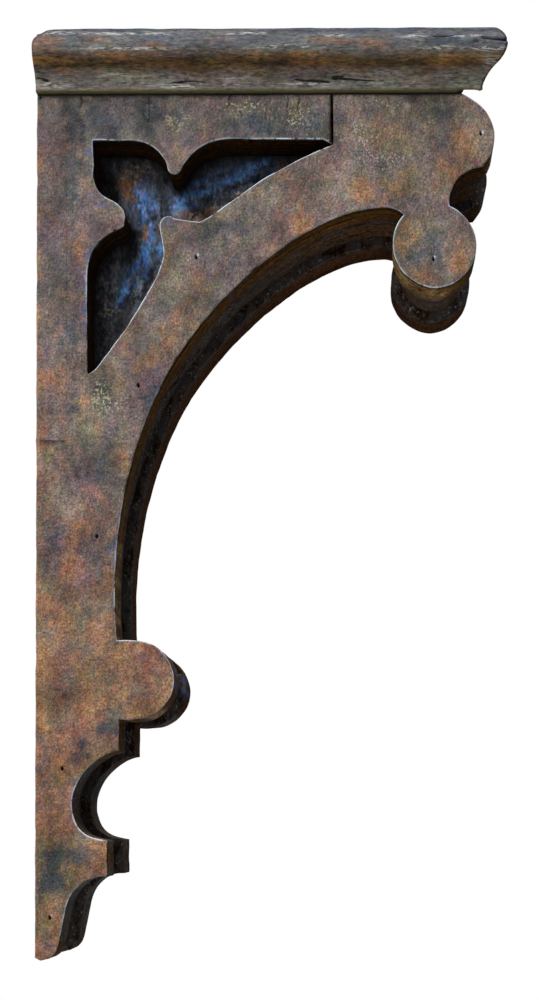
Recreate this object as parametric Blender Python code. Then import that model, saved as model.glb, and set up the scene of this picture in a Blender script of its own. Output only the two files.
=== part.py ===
"""Carved wooden corbel: two pierced face layers on a set-back core, under a moulded cap.

X runs out from the wall, Y from the show face to the hidden face, Z up. The origin is at the
centre of the flat wall edge. Sizes are in millimetres and become metres in the meshes.
Outlines are drawn side-on. Their points are per cent of the projection and of the body height.
"""
import math

import bmesh
import bpy
import numpy as np

MM = 0.001

# Driving dimensions
PROJECTION = 303.0        # wall to the front of the nose
BODY_HEIGHT = 572.0       # foot to the underside of the cap
BOARD_THICKNESS = 28.6    # each face layer
CORE_THICKNESS = 44.0     # middle board
CORE_SETBACK = 6.5        # how far the core lies behind the curved edge
STRIP_WIDTH = 20.0        # face strip along the wall
STRIP_LENGTH = 231.0      # the strip runs down from the cap
CAP_HEIGHT = 38.0
CAP_OVERHANG = 18.3       # widest part of the cap, past the faces and past its own end line
CAP_SETBACK = 11.0        # the cap's end line lies this far behind the nose
CAP_LIP = 2.0             # lower edge of the moulding where it runs on past the boards
JOINT_GAP = 0.3           # between neighbouring pieces
ARC_STEP = math.radians(11)
CURVE_STEP = 8.0
SHARP_ANGLE = math.radians(30)

# Worked out from them
TOTAL_HEIGHT = BODY_HEIGHT + CAP_HEIGHT
FOOT_Z = -TOTAL_HEIGHT / 2
BODY_TOP = BODY_HEIGHT - JOINT_GAP
HALF_CORE = CORE_THICKNESS / 2
HALF_WIDTH = HALF_CORE + JOINT_GAP + BOARD_THICKNESS
STRIP_FOOT = BODY_HEIGHT - STRIP_LENGTH
CAP_END = PROJECTION - CAP_SETBACK


# Drawing the outlines

def arc_points(start, through, end):
    """Points of the circle arc that leaves start, passes through one point and stops at end."""
    start, through, end = (np.array(p, float) for p in (start, through, end))
    chords = 2 * np.array([through - start, end - start])
    squares = np.array([through @ through - start @ start, end @ end - start @ start])
    centre = np.linalg.solve(chords, squares)
    angles = [math.atan2(*(p - centre)[::-1]) for p in (start, through, end)]
    turn = (angles[2] - angles[0]) % math.tau
    if (angles[1] - angles[0]) % math.tau > turn:
        turn -= math.tau
    count = max(2, math.ceil(abs(turn) / ARC_STEP))
    radius = math.dist(start, centre)
    steps = angles[0] + turn * np.arange(1, count + 1) / count
    return centre + radius * np.column_stack([np.cos(steps), np.sin(steps)])


def curve_points(start, pull_out, pull_in, end):
    """Points of the cubic Bezier curve between two ends with two pulling points."""
    corners = np.array([start, pull_out, pull_in, end], float)
    length = sum(math.dist(a, b) for a, b in zip(corners, corners[1:]))
    count = max(2, math.ceil(length / CURVE_STEP))
    t = (np.arange(1, count + 1) / count)[:, None]
    weights = [(1 - t) ** 3, 3 * (1 - t) ** 2 * t, 3 * (1 - t) * t ** 2, t ** 3]
    return sum(weight * corner for weight, corner in zip(weights, corners))


def trace(place, start, *strokes):
    """One open outline. A stroke has one point for a line, two for an arc, three for a curve."""
    points = [place(start)]
    for stroke in strokes:
        ends = [place(point) for point in stroke]
        if len(ends) == 1:
            points.append(ends[0])
        elif len(ends) == 2:
            points.extend(arc_points(points[-1], *ends))
        else:
            points.extend(curve_points(points[-1], *ends))
    return np.array(points)


def on_body(share):
    """A point of the body, from per cent of the projection and of the body height."""
    return np.array([share[0] * PROJECTION, share[1] * BODY_HEIGHT]) / 100


def on_face(share):
    """A point of the carved face, which starts beside the wall strip."""
    across = STRIP_WIDTH + share[0] * (PROJECTION - STRIP_WIDTH) / 100
    return np.array([across, share[1] * BODY_HEIGHT / 100])


def carved_edge():
    """The curved edge from the cap down to the wall: nose, drop, arch, lobe, hollow and foot."""
    return trace(
        on_body, (92.6, 100),
        [(95.9, 98.9)], [(100, 94.7), (97.2, 91.2)],                       # nose
        [(92.7, 90.2), (90.0, 86.7)],                                      # neck
        [(95.9, 82.0), (86.7, 77.1)], [(77.5, 82.0), (79.9, 85.7)],        # round drop
        [(78.0, 86.3)], [(76.7, 86.5)],
        [(61.8, 86.9), (39.3, 77.5), (28.35, 67.1)],                       # arch
        [(26.4, 65.2), (14.7, 53.5), (17.7, 36.6)],
        [(21.35, 36.6)], [(30.0, 32.0), (21.35, 27.45)], [(18.15, 27.45)], # lobe
        [(18.15, 23.85)],                                                  # fillet
        [(13.9, 23.7), (8.05, 20.9), (8.05, 18.0)],                        # hollow
        [(8.05, 14.7), (11.2, 14.0), (15.6, 13.7)],
        [(15.6, 9.55)], [(9.1, 8.3), (6.8, 6.15)],                         # cusp and cove
        [(6.2, 4.7), (5.7, 3.15), (5.15, 1.7)],                            # foot
        [(4.8, 0.75), (3.6, 0), (1.2, 0)], [(0, 0.4)],
    )


def trefoil_upper_edge():
    """The opening's edge on the corner board, from the outer tip round to the lower tip."""
    return trace(
        on_face, (62.1, 93.9),
        [(59.9, 94.5)], [(37.5, 94.6)], [(30.0, 93.2), (26.5, 90.75)],     # outer lobe
        [(24.9, 90.45), (23.6, 90.95)],
        [(21.2, 93.2), (14.8, 94.45)], [(6.1, 94.5)],                      # corner lobe
        [(6.4, 91.6)], [(7.7, 88.6), (10.7, 87.5)], [(13.25, 86.45)],
        [(13.6, 85.7), (13.35, 84.5)],
        [(12.05, 84.1)], [(7.8, 82.75), (5.1, 80.1)], [(4.8, 78.2)],       # lower lobe
        [(5.05, 67.3)],
    )


def trefoil_lower_edge():
    """The opening's edge on the arch board, from the lower tip back to the outer tip."""
    return trace(
        on_face, (5.05, 67.3),
        [(7.0, 68.1)], [(12.0, 71.3), (21.9, 78.1), (22.5, 81.3)],
        [(22.4, 82.5), (21.6, 83.5), (21.6, 84.7)],
        [(22.7, 85.55), (25.1, 85.4)], [(27.6, 85.2)], [(30.9, 85.0)],
        [(36.0, 85.85), (43.1, 90.4), (62.1, 93.9)],
    )


def cap_edge():
    """The cap's moulding, top to bottom: outward past the faces, and height above its underside."""
    def place(share):
        return np.array([share[0] * CAP_OVERHANG, (100 - share[1]) * CAP_HEIGHT]) / 100
    return trace(
        place, (60, 0),
        [(80, 8), (101, 24), (100, 37)], [(99, 48), (84, 57), (70, 62)],   # rounded upper part
        [(34, 76), (15, 94)], [(15, 100)],                                 # hollow and lower edge
    )


def inset(outline, distance):
    """The closed outline, moved inwards by a distance all round.

    Each corner moves along both its edges' inward directions, and a corner that points inwards
    swings round an arc. Points that come closer to the outline than the distance are left out.
    """
    before = outline - np.roll(outline, 1, axis=0)
    after = np.roll(before, -1, axis=0)
    area = np.sum(outline[:, 0] * after[:, 1] - outline[:, 1] * after[:, 0])
    side = 1 if area > 0 else -1
    moved = []
    for corner, edge_in, edge_out in zip(outline, before, after):
        normals = [side * np.array([-e[1], e[0]]) / np.hypot(*e) for e in (edge_in, edge_out)]
        cosine = float(normals[0] @ normals[1])
        points_in = side * (edge_in[0] * edge_out[1] - edge_in[1] * edge_out[0]) < 0
        if points_in and cosine < math.cos(SHARP_ANGLE):
            swing = np.linspace(0, 1, 5)[:, None]
            fan = normals[0] * (1 - swing) + normals[1] * swing
            moved.extend(corner + distance * fan / np.hypot(*fan.T)[:, None])
        else:
            moved.append(corner + distance * (normals[0] + normals[1]) / (1 + cosine))
    return [p for p in moved if gap_to(outline, p) > 0.995 * distance]


def gap_to(outline, point):
    """Shortest distance from a point to a closed outline."""
    ends = np.roll(outline, -1, axis=0)
    edges = ends - outline
    along = ((point - outline) * edges).sum(1) / (edges ** 2).sum(1)
    nearest = outline + np.clip(along, 0, 1)[:, None] * edges
    return float(np.hypot(*(point - nearest).T).min())


# Whole outlines of the pieces

def body_outline(top):
    """The closed outline of a full board, with its top at the given height."""
    edge = carved_edge()
    return np.vstack([[edge[0][0], top], edge[1:], [0, top]])


def core_outline():
    """The full outline set back along its curved edge, and full at the wall and under the cap."""
    edge = carved_edge()
    grown = np.vstack([
        [edge[0][0], BODY_TOP + CORE_SETBACK], edge[1:],
        [-CORE_SETBACK, edge[-1][1]], [-CORE_SETBACK, BODY_TOP + CORE_SETBACK],
    ])
    return inset(grown, CORE_SETBACK)


def arch_board_outline():
    """The main face board: the full outline without the wall strip, opening and corner board."""
    edge = carved_edge()
    opening = trefoil_lower_edge()
    outer_tip, lower_tip = opening[-1], opening[0]
    return np.vstack([
        [edge[0][0], BODY_TOP], edge[1:],
        [0, STRIP_FOOT - JOINT_GAP], [lower_tip[0], STRIP_FOOT - JOINT_GAP],
        opening, [outer_tip[0], BODY_TOP],
    ])


def corner_board_outline():
    """The face board between wall strip, cap and opening, a gap away from its neighbours."""
    opening = trefoil_upper_edge()
    opening[0][0] -= JOINT_GAP
    opening[-1][0] -= JOINT_GAP
    outer_tip, lower_tip = opening[0], opening[-1]
    left = STRIP_WIDTH + JOINT_GAP
    return np.vstack([
        [outer_tip[0], BODY_TOP], opening,
        [lower_tip[0], STRIP_FOOT], [left, STRIP_FOOT], [left, BODY_TOP],
    ])


def wall_strip_outline():
    """The narrow face strip along the wall."""
    return np.array([[0, STRIP_FOOT], [STRIP_WIDTH, STRIP_FOOT], [STRIP_WIDTH, BODY_TOP],
                     [0, BODY_TOP]])


# Making the objects

def finish(name, colour, roughness):
    """A plain painted-wood material."""
    material = bpy.data.materials.new(name)
    material.use_nodes = True
    shader = material.node_tree.nodes["Principled BSDF"]
    shader.inputs["Base Color"].default_value = (*colour, 1)
    shader.inputs["Roughness"].default_value = roughness
    shader.inputs["Metallic"].default_value = 0
    return material


def make_object(name, shape, parent, front, material):
    """Turn a bmesh into a named object whose front lies at a depth and whose foot is at FOOT_Z."""
    bmesh.ops.recalc_face_normals(shape, faces=shape.faces)
    bmesh.ops.triangulate(shape, faces=[f for f in shape.faces if len(f.verts) > 4])
    mesh = bpy.data.meshes.new(name)
    shape.to_mesh(mesh)
    shape.free()
    mesh.shade_smooth()
    mesh.set_sharp_from_angle(angle=SHARP_ANGLE)
    mesh.materials.append(material)
    piece = bpy.data.objects.new(name, mesh)
    bpy.context.collection.objects.link(piece)
    piece.parent = parent
    piece.location = (0, front * MM, FOOT_Z * MM)
    return piece


def prism(near, far):
    """A closed shape between two flat rings of points in millimetres."""
    shape = bmesh.new()
    near, far = ([shape.verts.new(np.array(point) * MM) for point in ring] for ring in (near, far))
    shape.faces.new(near)
    shape.faces.new(reversed(far))
    for i in range(len(near)):
        shape.faces.new((near[i - 1], far[i - 1], far[i], near[i]))
    return shape


def board(name, outline, thickness, parent, front, material):
    """An outline sawn from a board: two flat faces and the edge between them."""
    rings = [[(x, depth, z) for x, z in outline] for depth in (0, thickness)]
    return make_object(name, prism(*rings), parent, front, material)


def cap(name, parent, material):
    """The moulding along both faces, on a block that ends with the boards' flat top.

    The show face's length runs on past the block to a mitre. Behind the mitre nothing is left of
    the end return, and the back of that length slopes up at 45 degrees from a thin lip.
    """
    shape = bmesh.new()
    rings = []
    block_end = carved_edge()[0][0]
    notch = CAP_END - block_end - HALF_WIDTH
    for out, up in cap_edge():
        width, end, height = HALF_WIDTH + out, CAP_END + out, BODY_HEIGHT + up
        corners = [(0, -width), (end, -width), (block_end, notch), (block_end, width), (0, width)]
        rings.append([shape.verts.new((x * MM, y * MM, height * MM)) for x, y in corners])
    shape.faces.new(rings[0])
    shape.faces.new(reversed(rings[-1]))
    for upper, lower in zip(rings, rings[1:]):
        for i in range(5):
            shape.faces.new((upper[i - 1], upper[i], lower[i], lower[i - 1]))
    piece = make_object(name, shape, parent, 0, material)

    lip_back = CAP_LIP - HALF_WIDTH - cap_edge()[-1][0]
    wedge = [(lip_back - 1, -1), (notch + 5, -1), (notch + 5, notch + 5 - lip_back)]
    rings = [[(x, y, BODY_HEIGHT + up) for y, up in wedge]
             for x in (block_end, CAP_END + CAP_OVERHANG + 5)]
    cutter = make_object(name + "_cutter", prism(*rings), parent, 0, material)
    cut_away(piece, cutter)
    return piece


def cut_away(piece, cutter):
    """Take a hidden cutter out of a piece."""
    cutter.hide_render = True
    cutter.display_type = "WIRE"
    cut = piece.modifiers.new("cut", "BOOLEAN")
    cut.object = cutter
    cut.operation = "DIFFERENCE"


def build():
    """The whole corbel."""
    for leftover in list(bpy.data.objects):
        bpy.data.objects.remove(leftover, do_unlink=True)
    corbel = bpy.data.objects.new("corbel", None)
    bpy.context.collection.objects.link(corbel)

    cap_wood = finish("cap_wood", (0.155, 0.118, 0.085), 0.5)
    face_wood = finish("face_wood", (0.13, 0.105, 0.09), 0.45)
    core_wood = finish("core_wood", (0.085, 0.052, 0.026), 0.6)
    back_wood = finish("back_wood", (0.12, 0.095, 0.08), 0.5)

    front = -HALF_WIDTH
    behind = HALF_CORE + JOINT_GAP
    cap("cornice_cap", corbel, cap_wood)
    board("core_board", core_outline(), CORE_THICKNESS, corbel, -HALF_CORE, core_wood)
    faces = {"front_arch_board": arch_board_outline(),
             "front_corner_board": corner_board_outline(),
             "front_wall_strip": wall_strip_outline()}
    for name, outline in faces.items():
        board(name, outline, BOARD_THICKNESS, corbel, front, face_wood)
    back = board("back_board", body_outline(BODY_TOP), BOARD_THICKNESS, corbel, behind, back_wood)
    opening = np.vstack([trefoil_upper_edge(), trefoil_lower_edge()[1:-1]])
    cutter = board("back_board_cutter", opening, BOARD_THICKNESS + 2, corbel, behind - 1, back_wood)
    cut_away(back, cutter)


build()
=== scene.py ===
# %% [markdown]
# # An old carved corbel
#
# A corbel is a bracket that stands out from a wall and carries a soffit or a shelf. This one is
# joinery: two face layers cut to the same outline, a thicker core set back between them, and a
# moulded cap on top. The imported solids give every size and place. Each lesson below takes one
# solid, reads its outline back, and makes the worn and painted surface that the eye sees.

# %% Load the frame
import math

import bmesh
import bpy
import numpy as np
from mathutils import Matrix, Vector, geometry


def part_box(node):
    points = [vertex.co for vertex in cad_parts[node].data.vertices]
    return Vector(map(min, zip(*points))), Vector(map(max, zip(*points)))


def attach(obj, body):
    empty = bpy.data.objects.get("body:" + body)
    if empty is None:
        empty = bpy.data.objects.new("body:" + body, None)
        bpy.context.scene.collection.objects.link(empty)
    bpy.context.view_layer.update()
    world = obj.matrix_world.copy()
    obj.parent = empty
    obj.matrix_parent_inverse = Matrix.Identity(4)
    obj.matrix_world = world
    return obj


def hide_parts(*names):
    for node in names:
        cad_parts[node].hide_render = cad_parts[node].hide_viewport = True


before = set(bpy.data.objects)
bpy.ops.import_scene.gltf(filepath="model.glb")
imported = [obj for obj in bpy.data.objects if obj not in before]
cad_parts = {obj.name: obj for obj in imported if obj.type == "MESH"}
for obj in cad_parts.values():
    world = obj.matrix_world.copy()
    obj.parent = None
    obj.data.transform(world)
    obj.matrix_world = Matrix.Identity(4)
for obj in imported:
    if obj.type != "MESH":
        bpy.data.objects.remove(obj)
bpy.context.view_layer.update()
MM = 0.001
print("solids:", ", ".join(sorted(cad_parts)))

# %% [markdown]
# ## Reading an outline back from a solid
#
# The flat side of a board is a patch of triangles. An edge that only one of them uses lies on
# the outline, and walking along such edges gives the loop, with the wood always on its left. One
# could type the outline in again, but then the looks could drift from the solid. The solid has
# facets, so the loop is then redrawn as a smooth curve that keeps its sharp corners.

# %% Loops of a flat side
def flat_side(node, axis, at_low):
    """Corner points of the flat side, in millimetres, and its loops as lists of point numbers.

    A triangle belongs to the side when all three of its corners lie on the lowest, or the
    highest, plane along the axis. Its directed edges with no partner chain into loops.
    """
    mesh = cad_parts[node].data
    mesh.calc_loop_triangles()
    raw = np.empty(len(mesh.vertices) * 3)
    mesh.vertices.foreach_get("co", raw)
    tris = np.empty(len(mesh.loop_triangles) * 3, int)
    mesh.loop_triangles.foreach_get("vertices", tris)
    points, same = np.unique(np.round(raw.reshape(-1, 3) / MM, 3), axis=0, return_inverse=True)
    tris = same.reshape(-1)[tris].reshape(-1, 3)
    level = points[:, axis].min() if at_low else points[:, axis].max()
    on_side = (np.abs(points[tris][:, :, axis] - level) < 0.01).all(1)
    edges = np.vstack([tris[on_side][:, pair] for pair in ([0, 1], [1, 2], [2, 0])])
    known = set(map(tuple, edges.tolist()))
    following = {a: b for a, b in known if (b, a) not in known}
    loops = []
    while following:
        start, step = following.popitem()
        loop = [start]
        while step != start:
            loop.append(step)
            step = following.pop(step)
        loops.append(points[loop])
    return sorted(loops, key=lambda loop: -np.ptp(loop, axis=0).max())


def unit(vectors):
    """Each row at length one."""
    return vectors / np.maximum(np.linalg.norm(vectors, axis=1), 1e-9)[:, None]


# %% A smooth curve through a loop
CORNER_ANGLE = 27.0    # a sharper turn is a real corner, in degrees
STRAIGHT = 12.5        # a longer facet is a straight edge


def smooth_loop(loop, step):
    """The closed loop as a fine curve.

    Between two corners each facet becomes a cubic Hermite curve. The tangent at a point is the
    mean of the two facet directions, each weighted by the other's length, and at a corner it
    mirrors the tangent at the facet's far end, as on a circle. Straight edges stay straight.
    """
    ahead = np.roll(loop, -1, axis=0) - loop
    length = np.linalg.norm(ahead, axis=1)
    way = unit(ahead)
    way_in, length_in = np.roll(way, 1, axis=0), np.roll(length, 1)
    tangent = unit(way_in * length[:, None] + way * length_in[:, None])
    tangent[length > STRAIGHT] = way[length > STRAIGHT]
    tangent[length_in > STRAIGHT] = way_in[length_in > STRAIGHT]
    corner = (way * way_in).sum(1) < math.cos(math.radians(CORNER_ANGLE))
    corner_next, tangent_next = np.roll(corner, -1), np.roll(tangent, -1, axis=0)

    def mirrored(t):
        """The tangents reflected about the facets: twice their part along the facet, less themselves."""
        return 2 * (t * way).sum(1)[:, None] * way - t

    straight = (length > STRAIGHT) | (corner & corner_next)
    start = np.where(corner[:, None], mirrored(tangent_next), tangent)
    end = np.where(corner_next[:, None], mirrored(tangent), tangent_next)
    start[straight], end[straight] = way[straight], way[straight]

    reach = np.concatenate([[0], np.cumsum(length)])
    stops = [np.linspace(a, b, max(2, round((b - a) / step) + 1))[:-1]
             for a, b in zip(reach[:-1], reach[1:])]
    facet = np.repeat(np.arange(len(loop)), [len(s) for s in stops])
    t = ((np.concatenate(stops) - reach[facet]) / length[facet])[:, None]
    pull = length[facet][:, None]
    after = np.roll(loop, -1, axis=0)
    return ((2 * t**3 - 3 * t**2 + 1) * loop[facet] + (t**3 - 2 * t**2 + t) * pull * start[facet]
            + (3 * t**2 - 2 * t**3) * after[facet] + (t**3 - t**2) * pull * end[facet])


def inward(loop):
    """At each point the move into the wood that shifts both neighbouring edges by one."""
    edge = unit(np.roll(loop, -1, axis=0) - loop)
    left = np.column_stack([-edge[:, 1], edge[:, 0]])
    left_before = np.roll(left, 1, axis=0)
    together = 1 + (left * left_before).sum(1)
    return (left + left_before) / np.maximum(together, 0.5)[:, None]


def batches(points):
    """Point numbers in batches, so that no table of points against loop edges grows too large."""
    return np.array_split(np.arange(len(points)), max(1, len(points) // 2000))


def distance_to(loops, points):
    """Shortest distance from each point to the loops."""
    nearest = np.full(len(points), 1e9)
    for loop in loops:
        edge = np.roll(loop, -1, axis=0) - loop
        for part in batches(points):
            gap = points[part][:, None] - loop
            along = np.clip((gap * edge).sum(2) / (edge**2).sum(1), 0, 1)
            gap -= along[..., None] * edge
            nearest[part] = np.minimum(nearest[part], np.sqrt((gap**2).sum(2).min(1)))
    return nearest


def inside(loops, points):
    """True where a line to the right of the point crosses the loops an odd number of times."""
    crossings = np.zeros(len(points), int)
    for loop in loops:
        u0, v0 = loop.T
        u1, v1 = np.roll(loop, -1, axis=0).T
        for part in batches(points):
            u, v = points[part][:, :1], points[part][:, 1:]
            spans = (v0 > v) != (v1 > v)
            at = u0 + (v - v0) * (u1 - u0) / np.where(v1 == v0, 1e9, v1 - v0)
            crossings[part] += (spans & (u < at)).sum(1)
    return crossings % 2 == 1


FACE_NODES = ("front_arch_board", "front_corner_board", "front_wall_strip")
face_outlines = {node: flat_side(node, 1, True)[0][:, [0, 2]] for node in FACE_NODES}
open_joint = face_outlines["front_corner_board"][:, 0].max()
outline = smooth_loop(face_outlines["front_arch_board"], 2.0)
print("arch board outline:", len(outline), "points, open joint at x", round(open_joint, 1), "mm")

# %% [markdown]
# ## Hand work and wear as noise
#
# No edge on an old bracket is quite true. A plane leaves shallow waves, a saw wanders and a
# century of knocks rounds the arrises. All of this is the same kind of function: a sum of plane
# waves in random directions, which is smooth, repeatable and quick to work out for whole arrays.

# %% Plane-wave noise
def waves(points, wavelength, seed, octaves=3, count=12):
    """Smooth noise of about -1 to 1.

    Each octave is the mean of cosines along random directions with random phases, scaled so that
    its spread is one. Every further octave has half the wavelength and half the height.
    """
    random = np.random.default_rng(seed)
    total = np.zeros(len(points))
    for octave in range(octaves):
        direction = unit(random.normal(size=(count, points.shape[1])))
        pitch = math.tau * 2**octave / wavelength * random.uniform(0.6, 1.4, count)
        phase = random.uniform(0, math.tau, count)
        cosines = np.cos(points @ (direction * pitch[:, None]).T + phase)
        total += cosines.sum(1) * math.sqrt(2 / count) / 2**octave
    return total / 2


def bump(points, centre, radius):
    """A round hump of height one: exp of minus the squared distance over the radius."""
    away = (points - np.array(centre)) / np.array(radius)
    return np.exp(-(away**2).sum(1))


print("noise spread:", round(float(waves(outline, 30, 1).std()), 2))

# %% [markdown]
# ## A board as a band and two flats
#
# The edge of a board is a profile carried along its outline: a worn arris, the sawn edge, and
# another arris. That is a grid, with the outline one way and the profile the other. The two
# flats are filled with a field of points, joined up by Delaunay triangles, so that nail holes
# and checks can be pressed into them. The same band makes the cap, with a moulding for profile.

# %% Carry a profile along a loop and fill its two ends
FAR = 99.0             # in millimetres, farther and deeper than any board
PAINTED_ARRIS = 0.8    # the paint of the face runs this deep over the arris


def ring_field(loops, spacing, near=()):
    """A field of points in staggered rows inside the loops, finer round the near spots.

    A near spot is (centre, radius, spacing). Points closer to a loop than most of the spacing
    are left out, because the loop brings its own.
    """
    low, high = np.min([l.min(0) for l in loops], axis=0), np.max([l.max(0) for l in loops], axis=0)

    def rows(corner_a, corner_b, gap):
        """Points a gap apart in rows, with every second row moved by half a gap."""
        u, v = np.meshgrid(np.arange(corner_a[0], corner_b[0], gap),
                           np.arange(corner_a[1], corner_b[1], gap * 0.87))
        u = u + gap / 2 * (np.arange(len(v)) % 2)[:, None]
        return np.column_stack([u.ravel(), v.ravel()])

    field = rows(low, high, spacing)
    gaps = np.full(len(field), spacing)
    for centre, radius, fine in near:
        centre, radius = np.array(centre), np.broadcast_to(radius, 2)

        def covered(p):
            """True inside the near spot's ellipse."""
            return (((p - centre) / radius) ** 2).sum(1) < 1

        extra = rows(centre - radius, centre + radius, fine)
        extra = extra[covered(extra)]
        keep = ~covered(field)
        field = np.vstack([field[keep], extra])
        gaps = np.concatenate([gaps[keep], np.full(len(extra), fine)])
    keep = inside(loops, field)
    field, gaps = field[keep], gaps[keep]
    return field[distance_to(loops, field) > 0.6 * np.minimum(gaps, 2.0)]


def fill(rings, field):
    """Delaunay triangles over ring points and field points, kept where they lie in the wood."""
    points = np.vstack(rings + [field])
    edges, first = [], 0
    for ring in rings:
        numbers = np.arange(first, first + len(ring))
        edges += np.column_stack([numbers, np.roll(numbers, -1)]).tolist()
        first += len(ring)
    out, _, tris, origin, _, _ = geometry.delaunay_2d_cdt(
        [Vector(p) for p in points], edges, [], 1, 1e-6)
    tris = np.array(tris)
    place = np.array([o[0] if o else -1 for o in origin])
    tris = place[tris]
    tris = tris[(tris >= 0).all(1)]
    return tris[inside(rings, points[tris].mean(1))]


def make_piece(name, xyz, faces, sawn, colours):
    """A linked object of the points and faces, turned outwards, with its colour attributes.

    The points are in millimetres. The faces where sawn is true take the second material.
    """
    mesh = bpy.data.meshes.new(name)
    mesh.from_pydata((xyz * MM).tolist(), [], faces)
    mesh.polygons.foreach_set("material_index", sawn.astype(np.int32))
    for title, values in colours.items():
        layer = mesh.attributes.new(title, "FLOAT_COLOR", "POINT")
        layer.data.foreach_set("color", np.clip(values, 0, 1).astype(np.float32).ravel())
    shape = bmesh.new()
    shape.from_mesh(mesh)
    bmesh.ops.recalc_face_normals(shape, faces=shape.faces)
    shape.to_mesh(mesh)
    shape.free()
    mesh.shade_smooth()
    piece = bpy.data.objects.new(name, mesh)
    bpy.context.collection.objects.link(piece)
    print(name, len(mesh.vertices), "points,", len(faces), "faces")
    return piece


def carried(name, loops, profile, place, fields, marks, painted_to=PAINTED_ARRIS,
            painted_from=FAR):
    """A closed piece: the profile carried along each loop, and both ends filled.

    profile(loop, number) gives two arrays with a row for each profile step and a column for each
    loop point: where the surface lies in the plane of the loop, and how deep. place turns rows
    of (u, v, depth) into (x, y, z) in millimetres, and marks(uvw) gives the colour attributes
    that the materials read, by name. Faces between the two depths take the second material.
    """
    spots, faces, first = [], [], 0
    ends, end_numbers = [[], []], [[], []]
    for number, loop in enumerate(loops):
        flat, deep = profile(loop, number)
        steps, count = deep.shape
        spots.append(np.dstack([flat, deep]).reshape(-1, 3))
        numbers = first + np.arange(steps * count).reshape(steps, count)
        turned = np.roll(numbers, -1, axis=1)
        quads = np.stack([numbers[:-1], numbers[1:], turned[1:], turned[:-1]], axis=-1)
        faces += quads.reshape(-1, 4).tolist()
        for end, row in ((0, 0), (1, -1)):
            ends[end].append(flat[row])
            end_numbers[end].append(numbers[row])
        first += steps * count
    for end in (0, 1):
        field = fields[end](ends[end])
        tris = fill(ends[end], field)
        deep = np.full(len(field), spots[0][:, 2].min() if end == 0 else spots[0][:, 2].max())
        spots.append(np.column_stack([field, deep]))
        table = np.concatenate(end_numbers[end] + [first + np.arange(len(field))])
        first += len(field)
        faces += table[tris[:, ::-1] if end == 0 else tris].tolist()
    uvw = np.vstack(spots)
    level = np.array([(uvw[face[0], 2] + uvw[face[2], 2]) / 2 for face in faces])
    sawn = (level > level.min() + painted_to) & (level < painted_from)
    return make_piece(name, place(uvw), faces, sawn, marks(uvw))


# %% The arris and edge profile of a board
EDGE_WAVES = 0.45      # how far a sawn edge wanders
JOINT_CLOSING = 0.13   # each side of a painted joint gives this much of the solids' gap
RIM_INSET = 0.6        # a last row of points on the flat keeps the colour of the rim narrow


def alone(points):
    """The distance to the next board, for a board that has none."""
    return np.full(len(points), FAR)


def board_profile(thickness, radius, apart, radius_behind=0.5):
    """The edge of a board: a quarter circle, the sawn edge, and a second quarter circle.

    With turn a from 0 to 90 degrees the arris lies radius*(1 - sin a) inside the outline and
    radius*(1 - cos a) deep. The sawn edge between wanders a little into the wood. Where the
    next board is no distance apart the joint is painted over, so the edge closes half the gap.
    """
    turn = np.radians(np.linspace(0, 90, 5))[:, None]
    down = np.linspace(0, 1, 9)[1:-1, None]

    def profile(loop, number):
        """Rows of the flat's last points, the arris, the sawn edge and the arris behind."""
        joint = 1.0 * ((apart(loop) < 0.6) & (np.abs(loop[:, 0] - open_joint) > 0.6))
        near = np.maximum(radius(loop) * (1 - joint), 0.06)
        far = near * 0 + radius_behind
        into = [near[None] + RIM_INSET, near * (1 - np.sin(turn)), 0 * down * near,
                far * (1 - np.sin(turn))[::-1]]
        deep = [0 * near[None], near * (1 - np.cos(turn)), near + (thickness - near - far) * down,
                thickness - far * (1 - np.cos(turn))[::-1]]
        into, deep = np.vstack(into), np.vstack(deep)
        spots = np.dstack([np.broadcast_to(loop, into.shape + (2,)), deep]).reshape(-1, 3)
        wander = EDGE_WAVES * (1 + waves(spots, 22, 5 + number)).reshape(into.shape) / 2
        into = into + np.maximum(wander, 0) * (1 - joint) - JOINT_CLOSING * joint
        return loop + into[..., None] * inward(loop), deep
    return profile
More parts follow.
